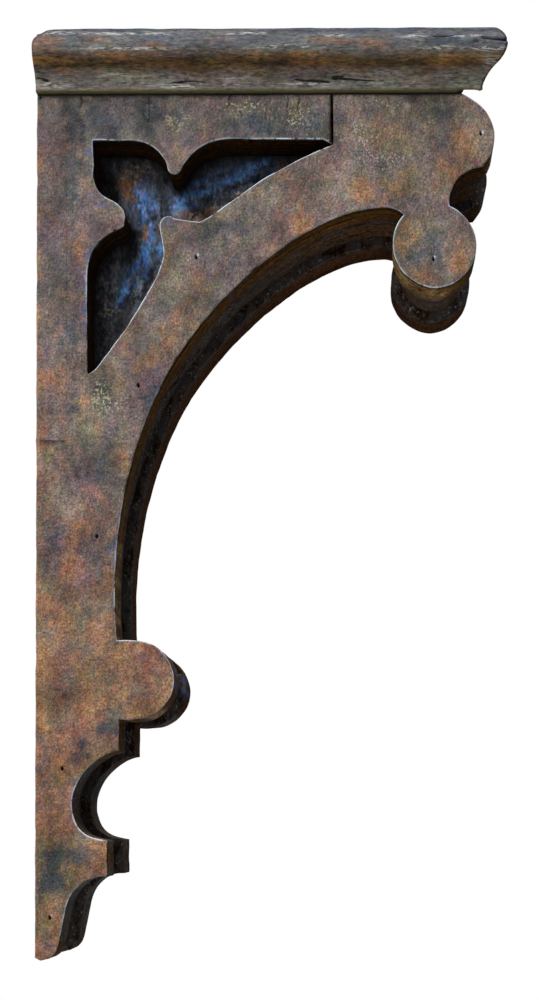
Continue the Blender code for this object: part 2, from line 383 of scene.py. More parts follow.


# %% [markdown]
# ## Marks that the paint follows
#
# Paint wears where hands and weather reach it, and some light and shade is painted in as well.
# A board carries three colour attributes, which the materials read. In "marks" red is a painted
# highlight along the arrises, brightest where they face up, and pale flecks by nail holes; green
# tells sawn edge from flat face, blue is where a slate-coloured cloud lies, and alpha is where
# brown shows through. In "wear" red is how deep a hole or check lies, green is a scuffed patch on
# the flats and painted light on the sawn edges, blue is the painted shade of the groove between
# the boards, and alpha is a rubbed streak. In "tints" red is ochre, green is blue, a painted sheen
# on the sawn edges, blue darkens stains and dark joints and lays painted shade under the cap and
# on parts of the sawn edges, and alpha is the warmer middle of a sawn edge. The spots whose
# names begin with EDGE lie on the sawn edges, and the others on the flats.

# %% Marks and small damage
# A spot is the x and z of its centre on the face, and its half-width and half-height.
SLATE_CLOUDS = {(10, -241): (10, 12), (27, -238): (10, 8), (12, -256): (9, 7), (45, 22): (9, 16),
                (50, -33): (7, 12), (78, 62): (8, 10), (43, 69): (7, 9), (28, 57): (7, 7),
                (24, 195): (5, 30), (25, 236): (4, 24), (23, 100): (7, 18), (250, 160): (7, 9),
                (264, 166): (7, 16), (48, -150): (7, 16), (30, -165): (6, 9), (10, -28): (9, 10),
                (60, 250): (30, 10), (160, 246): (30, 7), (270, 252): (18, 9), (214, 226): (14, 8),
                (128, 176): (20, 7)}
BROWN_RUBS = {(240, 206): (17, 8), (272, 213): (9, 9), (281, 234): (11, 14), (214, 200): (14, 7),
              (162, 212): (5, 6), (98, 118): (8, 8), (103, 135): (7, 6), (170, 180): (11, 7),
              (72, 90): (10, 9), (88, 104): (7, 9), (57, 22): (8, 7), (28, -24): (7, 11),
              (24, -52): (9, 8), (4, -86): (6, 14), (4, 50): (5, 34), (60, -106): (11, 11),
              (50, -122): (9, 9), (85, -130): (8, 8), (24, -148): (12, 9), (8, -120): (9, 20),
              (18, -192): (9, 20), (42, -236): (8, 9), (4, -226): (5, 10), (6, -296): (9, 8),
              (243, 165): (6, 14), (254, 140): (11, 7), (279, 150): (7, 9), (20, 236): (6, 8),
              (35, 62): (6, 7), (12, 76): (10, 8), (30, 166): (5, 14), (62, -8): (6, 12)}
OCHRE_SPOTS = {(140, 257): (20, 6), (172, 251): (10, 9), (92, 247): (10, 8), (52, 66): (8, 7),
               (8, 27): (7, 7), (290, 226): (8, 8), (230, 238): (22, 14), (4, -264): (6, 7),
               (250, 206): (8, 7), (8, -280): (8, 7), (118, 246): (14, 6), (60, 160): (3, 10),
               (118, 138): (9, 5), (262, 176): (8, 9)}
BLUE_RUBS = {(54.5, -37): (3.5, 9), (57, -10): (1.5, 8), (36, 226): (3, 9), (35, 138): (3, 26),
             (48, 196): (9, 3), (24, -196): (3, 12), (86, 184): (6, 4)}
# Dark stains and joint lines, and two strips of painted shadow just under the cap.
DARK_STAINS_AND_SHADOW = {(20.5, 246): (0.8, 16), (28.8, 248): (0.8, 14), (60, 267): (60, 3.5),
               (250, 267): (30, 3.5), (14, 31): (5, 2.5), (72, 254): (2.5, 10)}
# Places where the painted highlight along the arrises is brighter.
BRIGHT_RIMS = {(262, 158): (30, 30), (54, -40): (8, 48), (92, -112): (10, 22), (27, -200): (9, 20),
               (26, -276): (8, 20), (35, 140): (6, 30), (35, 226): (6, 12), (150, 218): (50, 30),
               (72, 140): (20, 50), (92, 184): (20, 5), (66, 234): (26, 16), (150, 237): (60, 4),
               (60, 206): (8, 8)}
SCUFFS = {(42, 64): (10, 12), (52, 58): (7, 6), (138, 257): (22, 4), (172, 250): (8, 8),
          (214, 238): (14, 8), (228, 222): (20, 5), (94, 247): (8, 5), (60, 10): (3, 14),
          (225, 258): (26, 1.4), (262, 247): (8, 1.4)}
STREAKS = {(20.5, 40): (0.9, 6), (0.5, -122): (1.6, 5)}
# Painted shade on the sawn edges under the nose.
EDGE_SHADES = {(286, 200): (17, 20), (278, 186): (12, 12)}
EDGE_CLOUDS = {(28, -282): (16, 26), (36, -196): (14, 22), (52, -236): (3, 12), (76, -142): (14, 4),
               (40, -255): (16, 8)}
# Painted light: paler yellow-brown patches on sawn edges that the lamps barely reach.
EDGE_PAINTED_LIGHT = {(243, 146): (12, 12), (262, 133): (16, 8), (84, -142): (14, 4), (238, 158): (6, 8),
             (62, -154): (3, 9), (54, -238): (2, 9), (46, -60): (6, 70)}
# A painted blue sheen of the light on the sawn edges.
EDGE_BLUE_SHEEN = {(98, -120): (5, 12), (42, -290): (10, 7), (150, 128): (12, 6)}

# A nail hole or fleck is the x and z of its centre. A check is x, z and its half length.
NAIL_FLECKS = [(294.6, 239.8), (262.6, 156.4), (10.6, -276.2), (106.3, 158.4)]
NAIL_HOLES = [(40.3, -27.5), (67.3, 72.2), (17.8, -179.9), (9.9, -276.9), (293.7, 239.2),
              (261.9, 155.4), (105.6, 157.3)]
CHECKS = [(29.7, 262, 5), (74.6, 257, 9), (127.4, 261, 5), (166.3, 260, 6), (173.6, 259, 6)]
NAIL_SIZE, NAIL_DEPTH = (0.85, 1.5), 2.2
CHECK_WIDTH, CHECK_DEPTH = 0.35, 1.2
OPEN_JOINT_FROM = 233      # the open joint beside the trefoil's tip starts at this height
SHORT_JOINT = (11, 35.4)   # middle of the dark part of the short joint by the wall


def painted(spots, points):
    """How strongly soft elliptical spots cover the points, with ragged outlines."""
    ragged = points + 4 * np.column_stack([waves(points, 14, 31), waves(points, 14, 32)])
    return sum(bump(ragged, centre, radius) for centre, radius in spots.items())


def pressed(points, nails, checks):
    """How far the face is pressed in: long plane waves, nail holes and drying checks, in mm."""
    depth = 0.14 * (1 + waves(points * [1, 0.4], 60, 11)) + 0.06 * (1 + waves(points, 9, 12))
    for centre in nails:
        away = (points - np.array(centre)) / NAIL_SIZE
        depth += NAIL_DEPTH * np.exp(-(away**2).sum(1) ** 2)
    for x, z, half in checks:
        wander = 0.5 * waves(points[:, 1:], 12, int(x))
        across, along = (points[:, 0] - x - wander) / CHECK_WIDTH, (points[:, 1] - z) / half
        depth += CHECK_DEPTH * np.exp(-(across**2) - along**4)
    return np.maximum(depth, 0)


def facing_up(loops, points):
    """The upward part of the outline's outward direction, at the loop point nearest each point."""
    rim = np.vstack(loops)
    up = -unit(np.vstack([inward(loop) for loop in loops]))[:, 1]
    return np.concatenate([up[((points[part][:, None] - rim) ** 2).sum(2).argmin(1)]
                           for part in batches(points)])


def rims(loops, points, deep, next_board):
    """How brightly the painted highlight on an arris shows: a narrow line, strongest facing up.

    It fades within a few millimetres of the next board, because that joint is painted over.
    """
    line = np.exp(-(((distance_to(loops, points) - 0.2) / 0.5) ** 2) - ((deep - 0.3) / 0.55) ** 2)
    bright = 0.15 + 0.85 * np.clip(facing_up(loops, points) * 1.5 - 0.2, 0, 1)
    bright = np.clip(bright + painted(BRIGHT_RIMS, points), 0, 1)
    return 1.3 * line * bright * np.clip((next_board - 1) / 4, 0, 1)


def gloom(points):
    """Dark places of a face: stains, the two joints that show, and painted shade under the cap."""
    x, z = points.T
    open_line = (x - open_joint) / np.where(x > open_joint, 1.0, 2.2)
    short_line = (z - SHORT_JOINT[1] + 0.4 * waves(points, 12, 36)) / 0.7
    dark = painted(DARK_STAINS_AND_SHADOW, points) + np.exp(-(open_line**2)) * (z > OPEN_JOINT_FROM)
    dark += np.exp(-(short_line**2)) * (np.abs(x - SHORT_JOINT[0]) < 8)
    # Darker towards the top and the wall: the painted shade of the cap's overhang, with some soot.
    return dark + np.clip((z - 190) / 70, 0, 1) * (0.08 + 0.33 * np.clip(1 - x / 200, 0, 1))


def board(name, node, show_low=True, radius=None, apart=alone, shade=0.0, spacing=2.2, nails=(),
          checks=()):
    """A face board: its outline is read from the solid's outer side and the band closes it."""
    low, high = (np.array(corner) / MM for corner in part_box(node))
    thickness = high[1] - low[1]
    loops = [smooth_loop(loop[:, [0, 2]], 2.0) for loop in flat_side(node, 1, show_low)]
    if not show_low:
        loops = [loop[::-1] for loop in loops]
    radius = radius or (lambda points: 0.9 + 0.35 * waves(points, 40, 3))
    face = low[1] if show_low else high[1]
    side = 1 if show_low else -1
    near = [(nail, (3, 4), 0.5) for nail in nails]
    near += [((x, z), (2.0, half + 2), 0.5) for x, z, half in checks]

    def place(uvw):
        """The face pressed in by its damage, which fades out down the edge."""
        points, deep = uvw[:, :2], uvw[:, 2]
        fade = np.clip(1 - deep / 8, 0, 1)
        deep = deep + fade * pressed(points, nails, checks)
        return np.column_stack([np.maximum(points[:, 0], 0), face + side * deep, points[:, 1]])

    def marks(uvw):
        """Coats of the flats; on the sawn edge its own clouds, and painted light, blue sheen and shade.
        """
        points, deep = uvw[:, :2], uvw[:, 2]
        x, z = points.T
        sawn = np.clip((deep - 0.7) / 1.2, 0, 1)
        share = np.clip(deep / thickness, 0, 1)
        # The top of the face right under the cap takes a painted shadow line and loses its highlight.
        under_cap = np.clip((z - high[2] + 1.8) / 1.0, 0, 1)
        # rim is the painted highlight along the arrises; the pale flecks by nail holes take its colour
        # too.
        rim = rims(loops, points, deep, apart(points)) * (1 - under_cap)
        rim += sum(bump(points, centre, (0.8, 0.9)) for centre in NAIL_FLECKS)
        hole = pressed(points, nails, checks) / 1.2 - 0.5
        wall = np.exp(-((x / 2.2) ** 2)) * np.clip(0.6 + 0.8 * waves(z[:, None], 24, 35), 0, 1)
        brown = painted(BROWN_RUBS, points) + 2.2 * wall + 0.8 * np.clip((40 - z) / 160, 0, 1)
        slate = painted(SLATE_CLOUDS, points) + 0.5 * np.clip((z - 215) / 40, 0, 1) * (x < 205)
        on_edge = sawn > 0.5
        slate = np.where(on_edge, painted(EDGE_CLOUDS, points), slate)
        # On the sawn edges this channel is painted light; on the flats it holds the scuffs.
        scuff_and_light = np.where(on_edge, show_low * painted(EDGE_PAINTED_LIGHT, points), painted(SCUFFS, points))
        # On the sawn edges blue is a painted sheen; on the flats it is the blue rubs.
        blue = np.where(on_edge, painted(EDGE_BLUE_SHEEN, points), painted(BLUE_RUBS, points))
        # dark holds stains, dark joints and painted shade; on the sawn edges it is painted shade only.
        dark = gloom(points) + 1.2 * under_cap
        dark = np.where(on_edge, painted(EDGE_SHADES, points) + shade, dark)
        return {"marks": np.column_stack([rim, sawn, slate, brown]),
                "wear": np.column_stack([hole, scuff_and_light, share**5, painted(STREAKS, points)]),
                "tints": np.column_stack([painted(OCHRE_SPOTS, points), blue, dark,
                                          4 * share * (1 - share) * (0.35 + 0.65 * (x > 2))])}

    fields = [lambda rings: ring_field(rings, spacing, near), lambda rings: ring_field(rings, 12.0)]
    profile = board_profile(thickness, radius, apart)
    piece = carried(name, loops, profile, place, fields, marks)
    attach(piece, "root")
    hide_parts(node)
    return piece


# %% [markdown]
# ## The three boards of the show face
#
# The face is made of a main board with the arch, a corner board above the trefoil and a strip
# along the wall. Their joints are glued and painted over, so only one shows strongly: the upright
# one beside the trefoil's tip, where the corner board's edge has been rubbed round.

# %% Face boards
def apart_from(node):
    """A function for the distance to the outlines of the other boards of the face."""
    others = [outline for name, outline in face_outlines.items() if name != node]
    return lambda points: distance_to(others, points)


def face_radius(points):
    """An arris rounded to about a millimetre by wear, rounder on the brown side of the open joint."""
    wear_and_glint = 0.95 + 0.35 * waves(points, 40, 3) + 0.6 * bump(points, (60, -10), (30, 60))
    wear_and_glint = np.where(np.abs(points[:, 0] - open_joint - 0.3) < 0.2, 0.3, wear_and_glint)
    rubbed = (np.abs(points[:, 0] - open_joint) < 0.1) & (points[:, 1] > OPEN_JOINT_FROM)
    return np.where(rubbed, 2.0 + 0.4 * waves(points, 12, 6), np.clip(wear_and_glint, 0.3, 2))


arch_board = board("arch_board", "front_arch_board", True, face_radius,
                   apart_from("front_arch_board"), nails=NAIL_HOLES)
# The corner board's sawn edges line the trefoil; shade darkens them as painted shade.
corner_board = board("corner_board", "front_corner_board", True, face_radius,
                     apart_from("front_corner_board"), shade=0.8, checks=CHECKS)
wall_strip = board("wall_strip", "front_wall_strip", True, face_radius,
                   apart_from("front_wall_strip"))
hidden_board = board("hidden_board", "back_board", show_low=False, spacing=3.5)

# %% [markdown]
# ## The core and the floor of the recess
#
# The core is a board like the others, but what shows of its face is the floor of the trefoil,
# which was left rough: scooped by a gouge and full of old paint. The floor is therefore a finer
# field of points, pressed in by long scoops along the lobes.

# %% Core
# A sheen streak or gouge is its start, its end and its width, seen from the front. The blue
# streaks are a painted reflection of the light on the varnished floor of the recess.
BLUE_SHEEN_STREAKS = [((66, 213), (69, 198), 7), ((72, 188), (71, 176), 3.5), ((70, 172), (52, 140), 5),
                ((92, 208), (150, 231), 6), ((88, 201), (100, 204), 3), ((78, 176), (80, 166), 2.5)]
GOUGES = [((79.5, 208), (80.5, 190), 1.8), ((75.5, 197), (74, 184), 1.4), ((62, 182), (58, 168), 3),
          ((56, 136), (50, 116), 6), ((97, 203), (112, 196), 2), ((72, 158), (66, 138), 1.8),
          ((60, 150), (54, 132), 1.5), ((120, 214), (150, 224), 1.5), ((44, 225), (48, 196), 4)]
RUST_SPOTS = {(68, 188): (2.5, 6), (57, 217): (9, 9), (76, 192): (2, 6), (104, 196): (14, 4),
              (70, 183): (3, 5), (168, 232): (12, 3)}
DRY_SPOTS = {(44, 132): (4, 22), (70, 229): (14, 6), (62, 146): (4, 12), (112, 200): (18, 5),
             (56, 222): (9, 6), (130, 214): (14, 4)}
GOUGE_DEPTH = 1.4
FLOOR_CRACK, CRACK_DEPTH = (155, 229), 1.8


def strokes(points, runs, streaky=0.0):
    """How strongly strokes cover the points: a hump of the distance to each short line.

    A streaky stroke breaks up into lines along its own direction.
    """
    cover = np.zeros(len(points))
    for start, end, width in runs:
        start, along = np.array(start, float), np.array(end, float) - start
        length = np.linalg.norm(along)
        run = (points - start) @ along / length
        across = (points - start) @ np.array([-along[1], along[0]]) / length
        gap = np.hypot(across, run - np.clip(run, 0, length))
        lines = 1 + streaky * (waves(np.column_stack([across, 0.12 * run]), 4.5, 37) - 0.4)
        cover = np.maximum(cover, np.exp(-((gap / width) ** 2)) * np.clip(lines, 0, 1.5))
    return cover


def floor_depth(points, edge):
    """Scoops, gouge ridges and one crack in the floor of the recess, in mm into the wood."""
    scoop = 1.3 + 0.5 * waves(points, 30, 21) + 0.35 * waves(points * [1.6, 0.5], 8, 22)
    scoop += 1.4 * np.clip(edge / 14, 0, 1) - 0.7
    ridges = GOUGE_DEPTH * strokes(points, GOUGES)
    across = points[:, 0] - FLOOR_CRACK[0] - 0.6 * waves(points, 8, 24)
    crack = CRACK_DEPTH * np.exp(-(across / 0.6) ** 2 - ((points[:, 1] - FLOOR_CRACK[1]) / 6) ** 4)
    return np.maximum(scoop + ridges + crack, 0.05)


def make_core():
    """The core board, with the recess floors pressed into both its faces."""
    low, high = (np.array(corner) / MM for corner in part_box("core_board"))
    thickness = high[1] - low[1]
    loops = [smooth_loop(loop[:, [0, 2]], 2.0) for loop in flat_side("core_board", 1, True)]
    walls = [smooth_loop(face_outlines[node], 2.0) for node in FACE_NODES]

    def place(uvw):
        """Both faces scooped, but only where a trefoil leaves them uncovered."""
        points, deep = uvw[:, :2], uvw[:, 2]
        edge = distance_to(walls, points) * ~inside(walls, points)
        scooped = np.clip(edge / 2, 0, 1) * floor_depth(points, edge)
        deep = deep + scooped * ((deep < 0.2) * 1.0 - (deep > thickness - 0.2))
        return np.column_stack([points[:, 0], low[1] + deep, points[:, 1]])

    def marks(uvw):
        """Painted sheen and shade on the floor, its gouges, and the colours of the core's own edge."""
        points, deep = uvw[:, :2], uvw[:, 2]
        ragged = points + 1.5 * np.column_stack([waves(points, 7, 33), waves(points, 7, 34)])
        # Painted shade: darker near the walls of the recess, and also darker along the gouges.
        dark = np.exp(-distance_to(walls, points) / 4.5) + 0.8 * strokes(ragged, GOUGES)
        sawn = np.clip(np.minimum(deep, thickness - deep) - 0.05, 0, 1)
        x, z = points.T
        brown = np.clip((z - 90) / 80, 0, 1) * np.clip((x - 90) / 80, 0, 1) + 1.0 * (x < 1)
        # groove darkens the core's edge as painted shade of the groove, except where brown shows.
        groove = sawn * np.clip(1 - brown, 0, 1)
        # blue is a painted reflection of the light on the floor, in streaks.
        blue = strokes(ragged, BLUE_SHEEN_STREAKS, 0.9) * (1 - sawn)
        return {"marks": np.column_stack([blue, sawn, dark, painted(RUST_SPOTS, points)]),
                "wear": np.column_stack([painted(DRY_SPOTS, points), 0 * x, groove, 0 * x]),
                "tints": np.column_stack([0 * x, sawn * painted(EDGE_BLUE_SHEEN, points),
                                          painted(EDGE_SHADES, points), brown])}

    recess = ((105, 165), (112, 92))
    fields = [lambda rings: ring_field(rings, 9.0, [(*recess, 1.4)]),
              lambda rings: ring_field(rings, 9.0, [(*recess, 3.0)])]
    profile = board_profile(thickness, lambda p: 0.4 + 0 * p[:, 0], alone)
    piece = carried("core", loops, profile, place, fields, marks, 0.1, thickness - 0.1)
    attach(piece, "root")
    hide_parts("core_board")
    return piece


core = make_core()

# %% [markdown]
# ## The moulded cap
#
# A moulding is planed along a length of wood and mitred at a corner. On the show face it runs on
# past the boards and ends in its mitre, because the return round the end is gone. The section is
# read from the solid's wall end, and each of its levels is a ring of five straight runs: front,
# mitre, end of the block, back and wall end. Together the rings are a grid, which wear presses in.

# %% Cap
SPLIT_FROM, SPLIT_TO = (288.1, 295.7), (312.0, 293.2)      # x and z of the split in the front
SPLIT_DEPTH = 2.8
LIP = 2.0                                                  # lower edge of the mitred end
CORNER_WEAR = 4.5                                          # how far the wall-end corners are worn
PALE_STREAKS = {(60, 299.5): (26, 1.0), (20, 300.5): (12, 1.2), (138, 299.5): (16, 0.9),
                (60, 288.6): (28, 0.8), (165, 289.2): (22, 0.8), (196, 298): (9, 1.2),
                (300, 281): (5, 3), (264, 288.6): (14, 0.8), (297, 287.5): (12, 1.0),
                (283, 296.4): (12, 0.9), (10, 271): (10, 1.6), (96, 270.5): (16, 1.3),
                (52, 276): (12, 0.9), (180, 271): (14, 1.0), (250, 296.5): (8, 1.0),
                (130, 274.5): (10, 0.8)}
WARM_PATCHES = {(8, 293): (14, 6), (5, 287): (7, 9), (42, 294): (12, 5), (78, 291): (10, 4),
                (200, 293): (20, 4), (120, 296): (12, 3), (226, 292): (12, 4), (4, 280): (8, 14),
                (60, 283): (30, 4), (170, 284): (40, 3)}
# A nick or dent is its centre, its half-sizes and its depth. A crack is start, end and width.
CAP_NICKS = [((266, -69, 296.3), (8, 6, 0.5), 1.2), ((290.3, -69, 292), (1.6, 6, 1.2), 1.4)]
CAP_DENTS = [((40, -69, 292), (5, 8, 3), 0.8), ((120, -68, 300), (9, 8, 2), 0.7),
             ((210, -69, 291), (6, 8, 3), 0.5), ((250, -60, 281), (7, 12, 2), 0.6),
             ((180, 69, 292), (12, 8, 3), 0.9), ((70, 69, 292), (5, 8, 6), 0.7)]
CAP_CRACKS = [((172, 273.5), (194, 272), 0.7), ((196, 274.6), (203, 275), 0.7),
              ((262, 296.4), (275, 296.9), 0.6), ((90, 272.3), (112, 272.6), 0.5),
              ((196, 273.8), (224, 272.8), 0.4), ((2, 274.5), (9, 273.5), 0.5)]


def split(xyz):
    """How much each point lies in the split: a thin sloping line that opens towards the end."""
    run = (xyz[:, 0] - SPLIT_FROM[0]) / (SPLIT_TO[0] - SPLIT_FROM[0])
    line = SPLIT_FROM[1] + run * (SPLIT_TO[1] - SPLIT_FROM[1]) + 0.25 * waves(xyz[:, :1], 14, 46)
    width = 0.45 + 0.45 * np.clip(run, 0, 1)
    front = np.clip(-xyz[:, 1] / 20, 0, 1)
    return np.clip(run * 5, 0, 1) * front * np.exp(-((xyz[:, 2] - line) / width) ** 2)


def make_cap():
    """The cap: its section carried along the front to the mitre, and along the back."""
    low, high = (np.array(corner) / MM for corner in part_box("cornice_cap"))
    section = smooth_loop(flat_side("cornice_cap", 0, True)[0][:, [1, 2]], 0.7)
    base = np.abs(section[section[:, 1] < low[2] + 0.01, 0]).max()
    front = section[(section[:, 0] < -base + 0.01) & (section[:, 1] > low[2] + 0.3)]
    front = front[np.argsort(-front[:, 1])]
    reach = np.append(-front[:, 0], base)
    deep = np.append(high[2] - front[:, 1], high[2] - low[2])
    top = flat_side("cornice_cap", 2, False)[0][:, :2]
    notch = top[(np.abs(top[:, 1]) < base - 2) & (top[:, 0] > 1)][0]

    zero = 0 * reach
    corners = np.array([[zero, -reach], [notch.sum() + reach, -reach],
                        [zero + notch[0], zero + notch[1]], [zero + notch[0], reach],
                        [zero, reach]]).transpose(2, 0, 1)
    shares = [np.linspace(0, 1, count, endpoint=False) for count in (150, 18, 34, 100, 40)]
    run = np.concatenate([np.full(len(share), i) for i, share in enumerate(shares)])
    share = np.concatenate(shares)[:, None]
    rings = corners[:, run] * (1 - share) + corners[:, (run + 1) % 5] * share

    def profile(path, number):
        """The rings as they are, each at its own depth below the top."""
        return rings, np.broadcast_to(deep[:, None], rings.shape[:2])

    def place(uvw):
        """The mitred end's underside raised, and wear pressed towards the middle of the section."""
        xyz = np.column_stack([uvw[:, :2], high[2] - uvw[:, 2]])
        lift = np.clip(xyz[:, 1] + base - LIP, 0, 20) * (xyz[:, 0] > notch[0] - 0.01)
        lift *= xyz[:, 1] < notch[1] + 0.01
        xyz[:, 2] += lift * (high[2] - xyz[:, 2]) / (high[2] - low[2])
        push = 0.22 * (1 + waves(xyz, 45, 41)) + 0.08 * (1 + waves(xyz * [0.3, 1, 1], 7, 42))
        for centre, radius, depth in CAP_NICKS + CAP_DENTS:
            push += depth * bump(xyz, centre, radius)
        push += SPLIT_DEPTH * split(xyz)
        for y in (-base - 12, base + 12):
            push += CORNER_WEAR * bump(xyz, (0, y, high[2]), (7, 10, 9))
        toward = np.column_stack([np.where(xyz[:, 0] < 8, 16.0, 0.0),
                                  np.where(np.abs(xyz[:, 1]) > base - 0.01, -np.sign(xyz[:, 1]) * 40, 0),
                                  (low[2] + high[2]) / 2 - xyz[:, 2]])
        moved = np.clip(xyz + unit(toward) * push[:, None], low, high)
        under = uvw[:, 2] > high[2] - low[2] - 0.01
        return np.where(under[:, None], xyz, moved)

    def marks(uvw):
        """Bands along the moulding by their height, and streaks, cracks and warm patches."""
        x, z = uvw[:, 0], high[2] - uvw[:, 2]
        points = np.column_stack([x * 0.35, z * 1.5])
        wavy = np.column_stack([x, z + 0.5 * waves(points, 8, 43)])
        streaks = sum(bump(wavy, at, size) for at, size in PALE_STREAKS.items())
        brown = np.exp(-((z - 280 + 1.2 * waves(points, 30, 45)) / 5.8) ** 2)
        slate = np.clip((z - 284) / 6, 0, 1)
        arris = np.exp(-((z - low[2] - 0.4) / 1.0) ** 2)
        # lower is painted light: a paler band low on the moulding, whose curve faces down into shade.
        lower = np.exp(-((z - low[2] - 8) / 5) ** 4)
        cracks = strokes(np.column_stack([x, z + 0.4 * waves(points, 6, 47)]), CAP_CRACKS)
        gap = split(np.column_stack([uvw[:, :2], z])) + cracks * (uvw[:, 1] < 0)
        warm = sum(bump(np.column_stack([x, z]), at, size) for at, size in WARM_PATCHES.items())
        return {"marks": np.column_stack([streaks, brown, slate, arris]),
                "wear": np.column_stack([gap, warm, lower, 0 * z])}

    fields = [lambda rings: ring_field(rings, 7.0)] * 2
    piece = carried("cap", [rings[0]], profile, place, fields, marks, FAR)
    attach(piece, "root")
    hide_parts("cornice_cap")
    return piece


cap = make_cap()

# %% [markdown]
# ## Old paint and varnish
#
# The finish is many thin coats: a grey-brown paint that has gone mauve in places, orange wood
# and older coats where it is rubbed, slate-blue clouds of the first colour, and a brown varnish
# over everything. Noise of three sizes mixes the coats, and the marks steer it. Light and shade
# are painted in as well: a pale highlight along the arrises, a blue sheen on the recess floor and
# on some sawn edges, paler patches on dim sawn edges and low on the cap, and shade in the groove,
# by the walls of the recess, under the cap and on some edges. All noise reads Object
# coordinates, in metres, so it stays on the wood.

# %% A short way to write shader nodes
class Finish:
    """A material in the making. Every method adds nodes and returns an output socket."""

    def __init__(self, name):
        self.material = bpy.data.materials.new(name)
        self.material.use_nodes = True
        self.tree = self.material.node_tree
        self.shader = self.tree.nodes["Principled BSDF"]
        self.place = self.tree.nodes.new("ShaderNodeTexCoord").outputs["Object"]

    def add(self, kind, inputs, output=0, **settings):
        """A node of the kind with its settings, whose inputs are numbers, colours or sockets."""
        node = self.tree.nodes.new(kind)
        for key, value in settings.items():
            setattr(node, key, value)
        for key, value in inputs.items():
            if isinstance(value, bpy.types.NodeSocket):
                self.tree.links.new(value, node.inputs[key])
            else:
                node.inputs[key].default_value = value
        return node.outputs[output]

    def noise(self, across, along=None, shift=0.0, detail=4.0, rough=0.6, output=0):
        """Noise with features of the given sizes in millimetres, across and along the grain."""
        along = along or across
        scale = (1000 / across, 1000 / across, 1000 / along)
        spot = self.add("ShaderNodeMapping", {"Vector": self.place, "Scale": scale,
                                              "Location": (shift, 2 * shift, 3 * shift)})
        return self.add("ShaderNodeTexNoise", {"Vector": spot, "Scale": 1.0, "Detail": detail,
                                               "Roughness": rough}, output)

    def speckle(self, paint, across, along=None, shift=0.0, contrast=1.0):
        """The paint made lighter or darker by noise, a little unevenly between its channels."""
        colours = self.noise(across, along, shift, 4.0, 0.65, output=1)
        grey = self.noise(across, along, shift + 2, 4.0, 0.65)
        colours = self.mix(0.78, colours, self.mix(grey, (0, 0, 0), (1, 1, 1)))
        colours = self.add("ShaderNodeBrightContrast", {"Color": colours, "Contrast": contrast})
        return self.mix(1.0, paint, colours, "OVERLAY")

    def step(self, value, low, high, top=1.0, bottom=0.0):
        """A smooth step from bottom to top as the value goes from low to high."""
        return self.add("ShaderNodeMapRange", {"Value": value, "From Min": low, "From Max": high,
                                               "To Min": bottom, "To Max": top},
                        interpolation_type="SMOOTHSTEP")

    def sum(self, first, second, operation="ADD"):
        """The two values added, or joined by another operation."""
        return self.add("ShaderNodeMath", {0: first, 1: second}, operation=operation)

    def times(self, first, second):
        """The product of the two values."""
        return self.sum(first, second, "MULTIPLY")

    def mix(self, share, first, second, blend="MIX"):
        """Colour first with the share of second laid over it."""
        first = first if isinstance(first, bpy.types.NodeSocket) else (*first, 1)
        second = second if isinstance(second, bpy.types.NodeSocket) else (*second, 1)
        return self.add("ShaderNodeMix", {0: share, 6: first, 7: second}, 2, data_type="RGBA",
                        blend_type=blend)

    def over(self, paint, colour, value, *rise):
        """The colour laid over the paint, as far as the step of the value goes."""
        return self.mix(self.step(value, *rise), paint, colour)

    def broken(self, mark, value, *rise):
        """The mark, broken up by the step of the value."""
        return self.times(mark, self.step(value, *rise))

    def marks(self, title):
        """The red, green, blue and alpha of a colour attribute of the piece."""
        colour = self.tree.nodes.new("ShaderNodeAttribute")
        colour.attribute_name = title
        parts = self.tree.nodes.new("ShaderNodeSeparateColor")
        self.tree.links.new(colour.outputs["Color"], parts.inputs[0])
        return [*parts.outputs, colour.outputs["Alpha"]]

    def close(self, colour, sheen, rough, height, distance, specular):
        """Plugs the colour, the roughness and the bump into the shader.

        The roughness goes from the first to the second value of rough as the sheen noise rises.
        The distance of the bump is in metres.
        """
        bump_map = self.add("ShaderNodeBump", {"Height": height, "Distance": distance,
                                               "Strength": 0.7})
        roughness = self.step(sheen, 0.35, 0.65, rough[1], rough[0])
        for key, socket in {"Base Color": colour, "Roughness": roughness, "Normal": bump_map}.items():
            self.tree.links.new(socket, self.shader.inputs[key])
        self.shader.inputs["Specular IOR Level"].default_value = specular
        return self.material


# %% The painted face
MAUVE, TAN, ORANGE = (0.164, 0.120, 0.112), (0.204, 0.158, 0.126), (0.385, 0.172, 0.066)
# The soot colour also lays the painted shade under the cap.
SLATE, PALE, SOOT_AND_SHADE = (0.050, 0.060, 0.076), (0.560, 0.500, 0.370), (0.014, 0.009, 0.006)
# SKY is the pale colour of the painted highlight on the arrises.
SKY, NEAR_BLACK, OCHRE = (0.780, 0.880, 0.980), (0.003, 0.002, 0.001), (0.235, 0.185, 0.080)
BLUE = (0.070, 0.130, 0.320)


